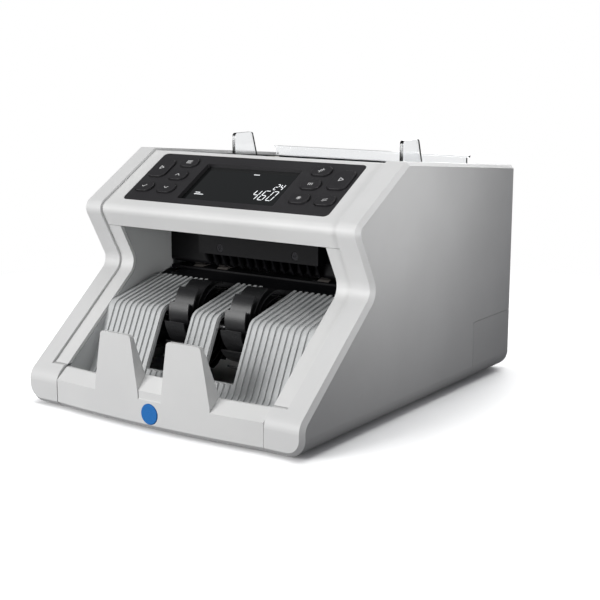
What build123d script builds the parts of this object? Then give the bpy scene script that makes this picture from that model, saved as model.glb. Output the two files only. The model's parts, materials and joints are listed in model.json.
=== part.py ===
"""Desktop banknote counting machine, built as separate pieces in one assembly.

Millimetres. X runs to the right of a person facing the front, Y runs to the back,
Z is up. The origin is on the table, under the middle of the machine.
"""
import os
from math import asin, atan2, cos, degrees, hypot, pi, radians, sin, sqrt, tan

from build123d import *

os.makedirs("parts", exist_ok=True)

# ---------------------------------------------------------------- housing
half_width = 125.0          # middle to the outside of a side cover
half_depth = 151.0          # middle to the front badge and to the back wall
skin = 2.5                  # wall of the moulded covers
seam = 0.3                  # gap between neighbouring covers
housing_bottom = 2.2        # lower edge of the covers above the table
back_top_z = 168.0          # top of the housing at the back
crest_y, crest_z = -17.6, 182.4     # where the control slope meets the top
nose_y, nose_z = -84.4, 142.5       # foremost corner of the control slope
waist_y, waist_z = -59.6, 96.6      # deepest corner of the open front
elbow_z = 24.1                      # corner over the front foot
nose_radius = 8.0
waist_radius = 10.0
elbow_radius = 12.0
front_setback = 5.25        # front badge back to the side covers' front edge
front_face_y = front_setback - half_depth
cover_seam_x = 107.2        # inner edge of the side covers
front_seam_x = 94.1         # inner edge of their toes, beside the front panel
toe_back_y = -120.0         # how far back a toe goes
toe_top_z = 31.0
edge_chamfer = 3.0
roof_chamfer = 2.5
sill_radius = 13.0          # rounded lower outside edge
proud = 1.9                 # how far the side covers stand out past the hood
split_y, split_z = 88.3, 50.0       # corner where the base shows at the back

# ---------------------------------------------------------------- base and feet
foot_height = 5.2
foot_radius = 8.0
foot_x = 92.0
foot_front_y = -112.0
foot_back_y = 128.0
floor_thickness = 2.6
base_rim_height = 7.0
base_back_top_z = 58.4

# ---------------------------------------------------------------- front panel
bow = 4.9                   # how far the front panel bulges at its middle
ridge_z = 22.0
lip_top_z = 29.8
lip_run = 9.8               # ridge to upper edge, front to back
badge_radius = 7.4
badge_thickness = 1.6
badge_proud = 0.6
badge_z = 12.8
finger_top_z = 66.0
finger_root_z = 26.0
finger_inner_top, finger_outer_top = 16.5, 45.0
finger_inner_root, finger_outer_root = 10.5, 52.0
finger_tip = 3.0            # thickness at the top
finger_root = 12.0          # thickness at the root
web_top_z = 37.0

# ---------------------------------------------------------------- stacker pocket
pocket_half = 93.8          # inside of the pocket's side walls
pocket_wall = 2.0
pocket_floor_z = 20.0
ramp_foot_y = -112.4
knee_y, knee_z = -87.8, 71.5
ledge_y, ledge_z = -34.8, 84.7
knee_radius = 9.0
rib_pitch = 5.2
rib_height = 1.2
rib_width = 2.2
wheel_slot_inner, wheel_slot_outer = 12.0, 40.0
wheel_slot_low_z = 30.0

# ---------------------------------------------------------------- control panel
panel_half = 93.4
panel_length = 60.0
panel_radius = 4.0
bezel_thickness = 1.6
hood_wall = 2.6
window_half = 44.0
window_low, window_high = 6.3, 50.0
window_rim = 1.2
glass_depth = 3.0
glass_thickness = 1.2
module_thickness = 4.6
board_thickness = 1.6
board_gap = 0.2
key_proud = 1.5
key_travel = 1.0
key_gap = 0.35
key_flange = 0.8
key_length = 16.5
key_height = 11.0
start_height = 22.0
# name: place across the panel, place up the slope, height up the slope
keys = {
    "key_start_left": (-82.5, 40.0, start_height),
    "key_menu": (-61.0, 49.0, key_height),
    "key_up": (-61.0, 32.5, key_height),
    "key_down": (-61.0, 16.0, key_height),
    "key_ok_left": (-82.5, 16.0, key_height),
    "key_batch": (61.0, 49.0, key_height),
    "key_mode": (61.0, 32.5, key_height),
    "key_detect": (61.0, 16.0, key_height),
    "key_start_right": (82.5, 40.0, start_height),
    "key_currency": (82.5, 16.0, key_height),
}

# ---------------------------------------------------------------- hopper
hopper_half = 97.0          # inside of the hopper
hopper_wall = 2.2
hopper_front_y, hopper_back_y = 5.2, 130.4
tray_low_y, tray_low_z = 24.0, 122.0        # front end of the slanted floor
tray_angle = 18.6
tray_thickness = 2.4
guide_x = 80.0
guide_thickness = 3.0
guide_front_y = 49.25
guide_base_back_y, guide_top_back_y = 88.0, 73.5
guide_top_z = 191.5
guide_lift = 1.0            # guide above the tray floor
guide_in = 30.0
guide_out = 12.0
guide_slot_s = 54.0         # slot for the guide's stem, along the floor
guide_stem = 5.0
back_plate_half = 94.0
back_plate_thickness = 2.2
back_plate_top_z = 176.0
pinion_module = 1.25
pinion_teeth = 12
rack_depth = 5.0
rack_thickness = 3.0
mesh_play = 0.25            # thinned off each tooth flank

# ---------------------------------------------------------------- mechanism
frame_x = 97.0              # inner face of the steel side frames
frame_thickness = 1.5
shaft_radius = 3.0
shaft_end = 100.3           # how far plain shafts reach past the frames
shaft_play = 0.05
bearing_radius = 5.0
bearing_fit = 0.02
pulley_start = 101.0
pulley_width = 5.8
belt_thickness = 1.5
belt_width = 4.4
belt_play = 0.1
stacker_y, stacker_z = -59.75, 57.0
stacker_radius = 34.0
stacker_width = 18.0
stacker_x = 26.0
stacker_hub = 9.0
stacker_pulley = 12.0
fin_count = 14
fin_thickness = 1.2
feed_y, feed_z = 30.0, 96.0
feed_radius = 20.0
feed_pulley = 16.0
feed_link_pulley = 10.0
pickup_s = 30.0             # pickup shaft, along the tray floor from its front end
pickup_radius = 11.5
pickup_proud = 1.5
pickup_pulley = 7.0
roller_x = 22.0
drive_y, drive_z = -4.0, 80.0
drive_radius = 10.2
drive_pulley = 8.0
drive_x = (48.0, 72.0)
idler_radius = 8.8
nip_gap = 0.4
retard_y, retard_z = 4.0, 110.0
retard_radius = 9.2
motor_y, motor_z = 60.0, 46.0
motor_radius = 21.0
motor_length = 48.0
motor_pulley = 8.0
motor_shaft = 2.5
stacker_motor_y, stacker_motor_z = -24.0, 38.0
stacker_motor_radius = 14.0
stacker_motor_length = 32.0
stacker_motor_pulley_radius = 6.0


def finish(piece, name):
    """Label a finished piece and write it out."""
    piece.part.label = name
    export_step(piece.part, "parts/" + name + ".step")


# ---------------------------------------------------------------- side profile
rear_bottom = (half_depth, housing_bottom)
rear_top = (half_depth, back_top_z)
crest = (crest_y, crest_z)
nose = (nose_y, nose_z)
waist = (waist_y, waist_z)
elbow = (front_face_y, elbow_z)
front_bottom = (front_face_y, housing_bottom)
corners = [rear_bottom, rear_top, crest, nose, waist, elbow, front_bottom]


def moved_corners(insets):
    """Corners of the side profile with each edge moved in by its own amount."""
    moved = []
    for i, corner in enumerate(corners):
        lines = []
        for k in (i - 1, i):
            a = corners[k]
            b = corners[(k + 1) % len(corners)]
            run = hypot(b[0] - a[0], b[1] - a[1])
            inward = (-(b[1] - a[1]) / run, (b[0] - a[0]) / run)
            lines.append((inward, inward[0] * a[0] + inward[1] * a[1] + insets[k]))
        (n1, d1), (n2, d2) = lines
        cross = n1[0] * n2[1] - n1[1] * n2[0]
        y = (d1 * n2[1] - d2 * n1[1]) / cross
        z = (n1[0] * d2 - n2[0] * d1) / cross
        moved.append((y, z))
    return moved


def housing_profile(rear=0.0, top=0.0, front=0.0, bottom=0.0):
    """The housing's outline seen from the side, as a face on the YZ plane."""
    points = moved_corners([rear, top, front, front, front, front, bottom])
    radii = {3: nose_radius - front, 4: waist_radius + front, 5: elbow_radius - front}
    with BuildSketch() as outline:
        with BuildLine():
            Polyline(*points, close=True)
        make_face()
        for index, radius in radii.items():
            corner = outline.vertices().sort_by_distance(Vector(*points[index]))[0]
            fillet(corner, max(radius, 0.8))
    return outline.sketch


def bar(x0, x1, y0, y1, z0, z1):
    """A plain block between two corners, for cutting and joining."""
    block = Box(x1 - x0, y1 - y0, z1 - z0, align=Align.MIN, mode=Mode.PRIVATE)
    return Pos(x0, y0, z0) * block


# ---------------------------------------------------------------- side covers
far = 400.0
with BuildPart() as cover_blank:
    with BuildSketch(Plane.YZ.offset(cover_seam_x)):
        add(housing_profile())
    extrude(amount=half_width - cover_seam_x)
    with BuildSketch(Plane.YZ.offset(front_seam_x + seam)):
        add(housing_profile())
        with Locations(((front_face_y + toe_back_y) / 2, (housing_bottom + toe_top_z) / 2)):
            Rectangle(toe_back_y - front_face_y, toe_top_z - housing_bottom, mode=Mode.INTERSECT)
    extrude(amount=cover_seam_x - front_seam_x - seam)
    sill = cover_blank.edges().filter_by(Axis.Y).group_by(Axis.X)[-1].group_by(Axis.Z)[0]
    fillet(sill, sill_radius)
    outside = cover_blank.faces().filter_by(Axis.X).sort_by(Axis.X)[-1]
    front_edges = outside.edges().filter_by(lambda e: abs(e.center().Y - front_face_y) < 0.1)
    chamfer(front_edges, edge_chamfer)
    outside = cover_blank.faces().filter_by(Axis.X).sort_by(Axis.X)[-1]
    roof_edges = outside.edges().filter_by(lambda e: e.center().Z > back_top_z and e.center().Y > 0)
    chamfer(roof_edges, roof_chamfer)

with BuildPart() as cover_hollow:
    with BuildSketch(Plane.YZ.offset(front_seam_x - skin)):
        add(housing_profile(skin, skin, skin, skin + 1.5))
    extrude(amount=half_width - sill_radius / 2 - front_seam_x + skin)
    with BuildSketch(Plane.YZ.offset(cover_seam_x)):
        add(housing_profile(2 * skin, 2 * skin, edge_chamfer + skin, sill_radius))
    extrude(amount=half_width - skin - cover_seam_x)

base_corner = bar(0, far, split_y, far, -far, split_z)
cover_corner = bar(0, far, split_y - seam, far, -far, split_z + seam)
with BuildPart() as right_side_cover:
    add(cover_blank.part)
    add(cover_hollow.part, mode=Mode.SUBTRACT)
    add(cover_corner, mode=Mode.SUBTRACT)
finish(right_side_cover, "right_side_cover")

with BuildPart() as left_side_cover:
    mirror(right_side_cover.part, about=Plane.YZ)
finish(left_side_cover, "left_side_cover")

# ---------------------------------------------------------------- inner frames
hood_inside = proud + hood_wall
hood_edge_z = 127.4         # lower edge of the hood's brow
with BuildPart() as right_inner_frame:
    with BuildSketch(Plane.YZ.offset(front_seam_x)):
        add(housing_profile(front=proud))
        add(housing_profile(front=hood_inside), mode=Mode.SUBTRACT)
        with Locations((front_face_y, (toe_top_z + seam + hood_edge_z - seam) / 2)):
            Rectangle(2 * abs(front_face_y - crest_y), hood_edge_z - toe_top_z - 2 * seam,
                      mode=Mode.INTERSECT)
    extrude(amount=cover_seam_x - seam - front_seam_x)
finish(right_inner_frame, "right_inner_frame")

with BuildPart() as left_inner_frame:
    mirror(right_inner_frame.part, about=Plane.YZ)
finish(left_inner_frame, "left_inner_frame")

# ---------------------------------------------------------------- base pan
inner_half = cover_seam_x - seam
base_floor_z = foot_height + floor_thickness
door_hinge_y, door_hinge_z = half_depth - 2.2, 61.0
hinge_radius = 2.2
hinge_pin_radius = 1.0
lug_x, lug_width = 80.0, 8.0
inlet_x, inlet_z = -70.0, 33.0
inlet_width, inlet_height = 50.0, 28.0
ports_x, ports_z = 62.0, 30.0
ports_width, ports_height = 52.0, 20.0
foot_places = [(x, y) for x in (-foot_x, foot_x) for y in (foot_front_y, foot_back_y)]
foot_screw_radius = 1.6
foot_screw_head = 3.4
base_front_y = front_face_y + skin + edge_chamfer + 1.0

with BuildPart() as base_wing:
    add(cover_blank.part)
    add(cover_hollow.part, mode=Mode.SUBTRACT)
    add(base_corner, mode=Mode.INTERSECT)

with BuildPart() as base_pan:
    add(bar(-inner_half, inner_half, toe_back_y + seam, half_depth - skin, foot_height, base_floor_z))
    add(bar(-front_seam_x + seam, front_seam_x - seam, base_front_y, toe_back_y + seam,
            foot_height, base_floor_z))
    for side in (-1, 1):
        rim_x = side * (inner_half - skin / 2)
        add(bar(rim_x - skin / 2, rim_x + skin / 2, toe_back_y + seam, half_depth - skin,
                foot_height, foot_height + base_rim_height))
    wing_tie = half_width - sill_radius
    add(bar(-wing_tie, wing_tie, split_y, half_depth - skin, foot_height, base_floor_z))
    add(bar(-wing_tie, wing_tie, half_depth - skin, half_depth, foot_height, split_z))
    add(bar(-inner_half, inner_half, half_depth - skin, half_depth, foot_height, base_back_top_z))
    add(base_wing.part)
    mirror(base_wing.part, about=Plane.YZ)
    # lugs that carry the back door's hinge pins
    for x in (-lug_x, lug_x):
        with BuildSketch(Plane.YZ.offset(x - lug_width / 2)):
            with Locations((door_hinge_y, door_hinge_z)):
                Circle(hinge_radius)
            with Locations((door_hinge_y - hinge_radius / 2, door_hinge_z)):
                Rectangle(hinge_radius, 2 * hinge_radius)
            with Locations((door_hinge_y - hinge_radius, door_hinge_z - 6.0)):
                Rectangle(2 * hinge_radius, 12.0)
            with Locations((door_hinge_y, door_hinge_z)):
                Circle(hinge_pin_radius + bearing_fit, mode=Mode.SUBTRACT)
        extrude(amount=lug_width)
    # openings for the power inlet and the sockets
    with BuildSketch(Plane.XZ.offset(-half_depth)):
        with Locations((inlet_x, inlet_z)):
            Rectangle(inlet_width + 0.2, inlet_height + 0.2)
        with Locations((ports_x, ports_z)):
            Rectangle(ports_width + 0.2, ports_height + 0.2)
    extrude(amount=skin + 3.0, mode=Mode.SUBTRACT)
    with Locations(*[(x, y, foot_height) for x, y in foot_places]):
        Cylinder(foot_screw_radius + 0.1, 4 * floor_thickness, mode=Mode.SUBTRACT)
finish(base_pan, "base_pan")

with BuildPart() as rubber_feet:
    with BuildSketch(Plane.XY):
        with Locations(*foot_places):
            Circle(foot_radius)
            Circle(foot_screw_head + 0.2, mode=Mode.SUBTRACT)
    extrude(amount=foot_height / 2)
    with BuildSketch(Plane.XY.offset(foot_height / 2)):
        with Locations(*foot_places):
            Circle(foot_radius)
            Circle(foot_screw_radius + 0.1, mode=Mode.SUBTRACT)
    extrude(amount=foot_height / 2)
    chamfer(rubber_feet.edges().group_by(Axis.Z)[0].filter_by(
        lambda e: e.length > 2 * pi * (foot_radius - 1)), 0.8)
finish(rubber_feet, "rubber_feet")

with BuildPart() as foot_screws:
    with BuildSketch(Plane.XY.offset(foot_height / 2 - 2.0)):
        with Locations(*foot_places):
            Circle(foot_screw_head)
    extrude(amount=2.0)
    with BuildSketch(Plane.XY.offset(foot_height / 2)):
        with Locations(*foot_places):
            Circle(foot_screw_radius)
    extrude(amount=foot_height / 2 + floor_thickness + 2.0)
finish(foot_screws, "foot_screws")

# ---------------------------------------------------------------- front panel
panel_face_y = -half_depth + badge_proud
bow_radius = (front_seam_x ** 2 + bow ** 2) / (2 * bow)
bow_axis = Axis((0, panel_face_y + bow_radius, 0), (0, 0, 1))
bow_arc = degrees(asin(front_seam_x / bow_radius)) + 0.3
panel_end_x = front_seam_x - seam


def bowed(points):
    """Half of a bowed strip: a side-view outline swept along the panel's curve."""
    with BuildPart() as strip:
        with BuildSketch(Plane.YZ):
            with BuildLine():
                Polyline(*points, close=True)
            make_face()
        revolve(axis=bow_axis, revolution_arc=bow_arc)
    return strip.part


face = panel_face_y
lip_y = face + lip_run
panel_outline = [
    (face + edge_chamfer, housing_bottom),
    (face, housing_bottom + edge_chamfer),
    (face, ridge_z),
    (lip_y, lip_top_z),
    (lip_y + 2.2, lip_top_z),
    (lip_y + 2.2, pocket_floor_z + seam),
    (lip_y + 0.2, pocket_floor_z + seam),
    (lip_y + 0.2, lip_top_z - 3.4),
    (face + skin, ridge_z - 1.2),
    (face + skin, housing_bottom + edge_chamfer + 1.2),
    (face + skin + edge_chamfer, housing_bottom + skin),
    (face + 14.0, housing_bottom + skin),
    (face + 14.0, housing_bottom),
]
finger_outline = [
    (face, ridge_z - 1.0),
    (face, finger_top_z),
    (face + finger_tip, finger_top_z),
    (face + finger_root, lip_top_z - 0.5),
    (face + skin, ridge_z - 1.0),
]
web_outline = [
    (face + 0.8, ridge_z - 0.6),
    (face + 0.8, finger_root_z + 2.0),
    (face + lip_run, web_top_z),
    (face + finger_root - 1.2, web_top_z),
    (face + finger_root, lip_top_z - 0.5),
    (face + skin, ridge_z - 1.0),
]
panel_strip = bowed(panel_outline)
finger_strip = bowed(finger_outline)
web_strip = bowed(web_outline)
with BuildPart() as finger:
    with BuildSketch(Plane.XZ.offset(-face + 1.0)):
        with BuildLine():
            Polyline(
                (finger_inner_root, ridge_z - 2.0),
                (finger_inner_root, finger_root_z),
                (finger_inner_top, finger_top_z),
                (finger_outer_top, finger_top_z),
                (finger_outer_root, finger_root_z),
                (finger_outer_root, ridge_z - 2.0),
                close=True,
            )
        make_face()
    extrude(amount=-(finger_root + 8.0))
    fillet(finger.edges().filter_by(Axis.Y).group_by(Axis.Z)[-1], 3.0)
    add(finger_strip, mode=Mode.INTERSECT)

with BuildPart() as front_panel:
    add(panel_strip)
    add(finger.part)
    add(web_strip & bar(-1, finger_inner_root + 3.0, -far, far, 0, far))
    add(bar(-1, panel_end_x, -far, far, -far, far), mode=Mode.INTERSECT)
    mirror(about=Plane.YZ)
    with BuildSketch(Plane.XZ.offset(half_depth)):
        with Locations((0, badge_z)):
            Circle(badge_radius + 0.15)
    extrude(amount=-(badge_thickness), mode=Mode.SUBTRACT)
finish(front_panel, "front_panel")

with BuildPart() as badge:
    with BuildSketch(Plane.XZ.offset(half_depth - badge_thickness)):
        with Locations((0, badge_z)):
            Circle(badge_radius)
    extrude(amount=badge_thickness)
    chamfer(badge.faces().sort_by(Axis.Y)[0].edges(), 0.4)
finish(badge, "badge")

# ---------------------------------------------------------------- stacker pocket
pocket_back_y = -14.0
pocket_front_y = front_face_y + skin + 1.5
path_points = [
    (pocket_front_y, pocket_floor_z),
    (ramp_foot_y, pocket_floor_z),
    (knee_y, knee_z),
    (ledge_y, ledge_z),
]


def pocket_band(reach):
    """A strip along the pocket's floor, ramp and ledge: above it, or below when negative."""
    side = Side.LEFT if reach > 0 else Side.RIGHT
    with BuildLine() as path:
        FilletPolyline(*path_points, radius=knee_radius)
    return make_face(offset(path.line, amount=abs(reach), side=side, closed=True).edges())


pocket_plate = pocket_band(-skin)
pocket_ribs = pocket_band(rib_height)
with BuildPart() as pocket_rib:
    with BuildSketch(Plane.YZ.offset(-rib_width / 2)):
        add(pocket_ribs)
    extrude(amount=rib_width)
    add(bar(-rib_width, rib_width, -far, ramp_foot_y - 2, -far, far), mode=Mode.SUBTRACT)

with BuildPart() as stacker_pocket:
    plate_half = pocket_half + 0.1
    with BuildSketch(Plane.YZ.offset(-plate_half)):
        add(pocket_plate)
    extrude(amount=2 * plate_half)
    rib_count = int((2 * pocket_half - rib_pitch) / rib_pitch)
    with Locations(*[((i - (rib_count - 1) / 2) * rib_pitch, 0, 0) for i in range(rib_count)]):
        add(pocket_rib.part)
    for side in (-1, 1):
        with BuildSketch(Plane.YZ.offset(side * (pocket_half + pocket_wall / 2) - pocket_wall / 2)):
            add(housing_profile(front=hood_inside + seam, top=hood_inside))
            with BuildLine():
                Polyline(
                    (pocket_front_y, pocket_floor_z - skin),
                    (ramp_foot_y + 2.0, pocket_floor_z - skin),
                    (knee_y + 2.0, knee_z - skin),
                    (ledge_y, ledge_z - skin),
                    (pocket_back_y, ledge_z + 4.0),
                    (pocket_back_y, hood_edge_z - seam),
                    (pocket_front_y, hood_edge_z - seam),
                    close=True,
                )
            make_face(mode=Mode.INTERSECT)
        extrude(amount=pocket_wall)
    for side in (-1, 1):
        slot_x = side * (wheel_slot_inner + wheel_slot_outer) / 2
        slot_half = (wheel_slot_outer - wheel_slot_inner) / 2
        add(bar(slot_x - slot_half, slot_x + slot_half, -far, ledge_y + 1.0, wheel_slot_low_z, far),
            mode=Mode.SUBTRACT)
finish(stacker_pocket, "stacker_pocket")

# ---------------------------------------------------------------- hood
inner_corners = moved_corners([0, proud, proud, proud, proud, proud, 0])
slope_top, slope_low = inner_corners[2], inner_corners[3]
slope_length = hypot(slope_top[0] - slope_low[0], slope_top[1] - slope_low[1])
slope_y = (slope_top[0] - slope_low[0]) / slope_length
slope_z = (slope_top[1] - slope_low[1]) / slope_length
panel_margin = 11.9         # lower edge of the control panel, from the nose corner
panel_plane = Plane(
    origin=(0, slope_low[0] + panel_margin * slope_y, slope_low[1] + panel_margin * slope_z),
    x_dir=(1, 0, 0),
    z_dir=(0, -slope_z, slope_y),
)
hopper_rim_half = hopper_half + hopper_wall + seam
skirt_z = 150.2             # lower edge of the hood behind the control slope
skirt_front_y = 20.0
window_margin = 1.6
ledge_half = panel_half - window_margin
knob_y = -7.0
knob_radius = 6.0
knob_height = 3.0
knob_shaft_radius = 2.5
deck_z = crest_z - proud

with BuildPart() as hood:
    with BuildSketch(Plane.YZ):
        add(housing_profile(top=proud, front=proud))
        add(housing_profile(rear=hood_wall, top=hood_inside, front=hood_inside), mode=Mode.SUBTRACT)
        with Locations((-far / 2 + 100.0, hood_edge_z / 2 - 50.0)):
            Rectangle(far, hood_edge_z + 100.0, mode=Mode.SUBTRACT)
        with Locations((skirt_front_y + far / 2, skirt_z / 2)):
            Rectangle(far, skirt_z, mode=Mode.SUBTRACT)
    extrude(amount=inner_half, both=True)
    add(bar(-hopper_rim_half, hopper_rim_half, hopper_front_y - hopper_wall - seam,
            hopper_back_y + hopper_wall + seam, skirt_z, far), mode=Mode.SUBTRACT)
    with BuildSketch(panel_plane):
        with Locations((0, panel_length / 2)):
            RectangleRounded(2 * panel_half + 2 * seam, panel_length + 2 * seam, panel_radius)
    extrude(amount=-bezel_thickness, mode=Mode.SUBTRACT)
    with BuildSketch(panel_plane):
        with Locations((0, panel_length / 2)):
            RectangleRounded(2 * ledge_half, panel_length - 2 * window_margin, panel_radius)
    extrude(amount=-2 * hood_wall, mode=Mode.SUBTRACT)
    with Locations((0, knob_y, deck_z)):
        Cylinder(knob_radius + 0.4, 6 * knob_height, mode=Mode.SUBTRACT)
    # boss under the deck that carries the knob
    with Locations((0, knob_y, deck_z - knob_height - 4.0)):
        Cylinder(knob_radius + 2.4, 6.0)
        Cylinder(knob_shaft_radius + shaft_play, 6.1, mode=Mode.SUBTRACT)
    with BuildSketch(Plane.XY.offset(deck_z - knob_height - 4.0)):
        with Locations((0, knob_y)):
            Circle(knob_radius + 2.4)
            Circle(knob_radius + 0.4, mode=Mode.SUBTRACT)
    extrude(until=Until.NEXT)
finish(hood, "hood")

# ---------------------------------------------------------------- control panel
glass_top = -glass_depth
module_top = glass_top - glass_thickness
board_top = module_top - module_thickness - board_gap
window_centre = (0, (window_low + window_high) / 2)
window_height = window_high - window_low
post_radius = 2.2
post_places = [(x, y) for x in (-86.0, 86.0) for y in (4.3, panel_length - 4.3)]


def key_shape(height, growth=0.0):
    """A key's rounded outline, grown on every side."""
    width = key_length + 2 * growth
    return RectangleRounded(width, height + 2 * growth, min(width, key_height + 2 * growth) / 2 - 0.2)


with BuildPart() as control_bezel:
    with BuildSketch(panel_plane):
        with Locations((0, panel_length / 2)):
            RectangleRounded(2 * panel_half, panel_length, panel_radius)
    extrude(amount=-bezel_thickness)
    with BuildSketch(panel_plane):
        with Locations(window_centre):
            Rectangle(2 * (window_half + window_rim), window_height + 2 * window_rim)
    extrude(amount=module_top)
    with BuildSketch(panel_plane):
        with Locations(*post_places):
            Circle(post_radius)
    extrude(amount=board_top)
    with BuildSketch(panel_plane):
        with Locations(window_centre):
            RectangleRounded(2 * window_half, window_height, 1.5)
        for x, up, height in keys.values():
            with Locations((x, up)):
                key_shape(height, key_gap)
    extrude(amount=2 * board_top, mode=Mode.SUBTRACT)
finish(control_bezel, "control_bezel")

with BuildPart() as lcd_lens:
    with BuildSketch(panel_plane.offset(module_top)):
        with Locations(window_centre):
            RectangleRounded(2 * window_half - 0.3, window_height - 0.3, 1.4)
    extrude(amount=glass_thickness)
finish(lcd_lens, "lcd_lens")

with BuildPart() as lcd_module:
    with BuildSketch(panel_plane.offset(module_top - module_thickness)):
        with Locations(window_centre):
            Rectangle(2 * (window_half + 3.0), window_height + 5.0)
    extrude(amount=module_thickness)
finish(lcd_module, "lcd_module")

with BuildPart() as control_board:
    with BuildSketch(panel_plane.offset(board_top - board_thickness)):
        with Locations((0, panel_length / 2)):
            Rectangle(2 * ledge_half - 3.0, panel_length - 2 * window_margin - 1.0)
    extrude(amount=board_thickness)
finish(control_board, "control_board")

outward = Axis(panel_plane.origin, panel_plane.z_dir)
flange_top = -bezel_thickness - 0.5
flange_bottom = flange_top - 1.0
stem_end = board_top + key_travel + 0.5
for name, (x, up, height) in keys.items():
    with BuildPart() as key:
        with BuildSketch(panel_plane.offset(flange_bottom)):
            with Locations((x, up)):
                key_shape(height, key_flange)
        extrude(amount=flange_top - flange_bottom)
        with BuildSketch(panel_plane.offset(flange_top)):
            with Locations((x, up)):
                key_shape(height)
        extrude(amount=key_proud - flange_top)
        fillet(key.faces().sort_by(outward)[-1].edges(), 0.5)
        with BuildSketch(panel_plane.offset(stem_end)):
            with Locations((x, up)):
                Rectangle(5.0, 4.0)
        extrude(amount=flange_bottom - stem_end)
    finish(key, name)

# ---------------------------------------------------------------- gap knob
with BuildPart() as gap_adjust_knob:
    with BuildSketch(Plane.XY.offset(deck_z - knob_height - 0.9)):
        with Locations((0, knob_y)):
            Circle(knob_radius)
    extrude(amount=knob_height)
    chamfer(gap_adjust_knob.faces().sort_by(Axis.Z)[-1].edges(), 0.4)
    with BuildSketch(Plane.XY.offset(deck_z - 2.1)):
        with Locations((0, knob_y)):
            Rectangle(1.6, 2 * knob_radius - 2.0)
    extrude(amount=2.0, mode=Mode.SUBTRACT)
    with BuildSketch(Plane.XY.offset(deck_z - knob_height - 0.9)):
        with Locations((0, knob_y)):
            Circle(knob_shaft_radius)
    extrude(amount=-22.0)
finish(gap_adjust_knob, "gap_adjust_knob")

# ---------------------------------------------------------------- hopper tray
tray_plane = Plane(
    origin=(0, tray_low_y, tray_low_z),
    x_dir=(1, 0, 0),
    z_dir=(0, -sin(radians(tray_angle)), cos(radians(tray_angle))),
)


def tray_point(along, above):
    """A point in the side view, given along the tray floor and above it."""
    up, level = sin(radians(tray_angle)), cos(radians(tray_angle))
    return (tray_low_y + along * level - above * up, tray_low_z + along * up + above * level)


tray_back_y = hopper_back_y + hopper_wall
tray_run = (hopper_back_y - tray_low_y) / cos(radians(tray_angle))
pickup_y, pickup_z = tray_point(pickup_s, pickup_proud - pickup_radius)
pickup_slot = sqrt(pickup_radius ** 2 - (pickup_radius - pickup_proud - tray_thickness) ** 2) + 1.2
pinion_s = 66.0
pitch_radius = pinion_module * pinion_teeth / 2
rack_top = -tray_thickness - 0.6
rack_bottom = rack_top - rack_thickness
throat_y = hopper_front_y - hopper_wall
guide_play = 0.6

with BuildPart() as tray_hollow:
    with BuildSketch(Plane.YZ.offset(-hopper_half)):
        with BuildLine():
            Polyline(
                (hopper_front_y, -far),
                (tray_low_y - 0.01, -far),
                tray_point(0, 0),
                tray_point(tray_run, 0),
                (hopper_back_y, far),
                (hopper_front_y, far),
                close=True,
            )
        make_face()
    extrude(amount=2 * hopper_half)

with BuildPart() as hopper_tray:
    with BuildSketch(tray_plane.offset(-tray_thickness)):
        with Locations((0, tray_run / 2)):
            Rectangle(2 * hopper_half + hopper_wall, tray_run + 0.6)
    extrude(amount=tray_thickness)
    # side, front and back walls, cut from the housing's own side profile
    low_front = tray_point(0, -tray_thickness)
    low_back = tray_point(tray_run + 3.0, -tray_thickness)
    with BuildSketch(Plane.YZ.offset(-hopper_half - hopper_wall)):
        add(housing_profile(top=proud + 0.6, front=proud))
        with BuildLine():
            Polyline(
                (throat_y, hood_edge_z + 1.0),
                low_front,
                low_back,
                (tray_back_y, low_back[1]),
                (tray_back_y, far),
                (throat_y, far),
                close=True,
            )
        make_face(mode=Mode.INTERSECT)
    extrude(amount=2 * (hopper_half + hopper_wall))
    add(tray_hollow.part, mode=Mode.SUBTRACT)
    # slots for the pickup rollers and the guides' stems
    with BuildSketch(tray_plane):
        with Locations((-roller_x, pickup_s), (roller_x, pickup_s)):
            Rectangle(15.0, 2 * pickup_slot)
        slot_in = guide_x - guide_in - guide_thickness / 2 - guide_play
        slot_out = guide_x + guide_out + guide_thickness / 2 + guide_play
        for side in (-1, 1):
            with Locations((side * (slot_in + slot_out) / 2, guide_slot_s)):
                Rectangle(slot_out - slot_in, guide_stem + 2 * guide_play)
    extrude(amount=-2 * tray_thickness, mode=Mode.SUBTRACT)
    # post that the pinion turns on
    with BuildSketch(tray_plane.offset(-tray_thickness)):
        with Locations((0, pinion_s)):
            Circle(2.0)
    extrude(amount=-(rack_thickness + 1.4))
finish(hopper_tray, "hopper_tray")

with BuildPart() as hopper_back_plate:
    plate_back_y = hopper_back_y - 0.1
    plate_low_z = tray_point(tray_run, 0)[1] + 0.8
    add(bar(-back_plate_half, back_plate_half, plate_back_y - back_plate_thickness, plate_back_y,
            plate_low_z, back_plate_top_z - 1.0))
    add(bar(-back_plate_half - 2.5, back_plate_half + 2.5, plate_back_y - back_plate_thickness - 0.6,
            plate_back_y, back_plate_top_z - 1.6, back_plate_top_z))
finish(hopper_back_plate, "hopper_back_plate")

# ---------------------------------------------------------------- guides, racks, pinion
pressure = radians(20.0)
tooth_pitch = pi * pinion_module
rack_tip = 0.68 * pinion_module
rack_root = 1.25 * pinion_module
rack_back = rack_root + rack_depth
rack_reach = 17.0           # how far each rack runs past the pinion at rest


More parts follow.
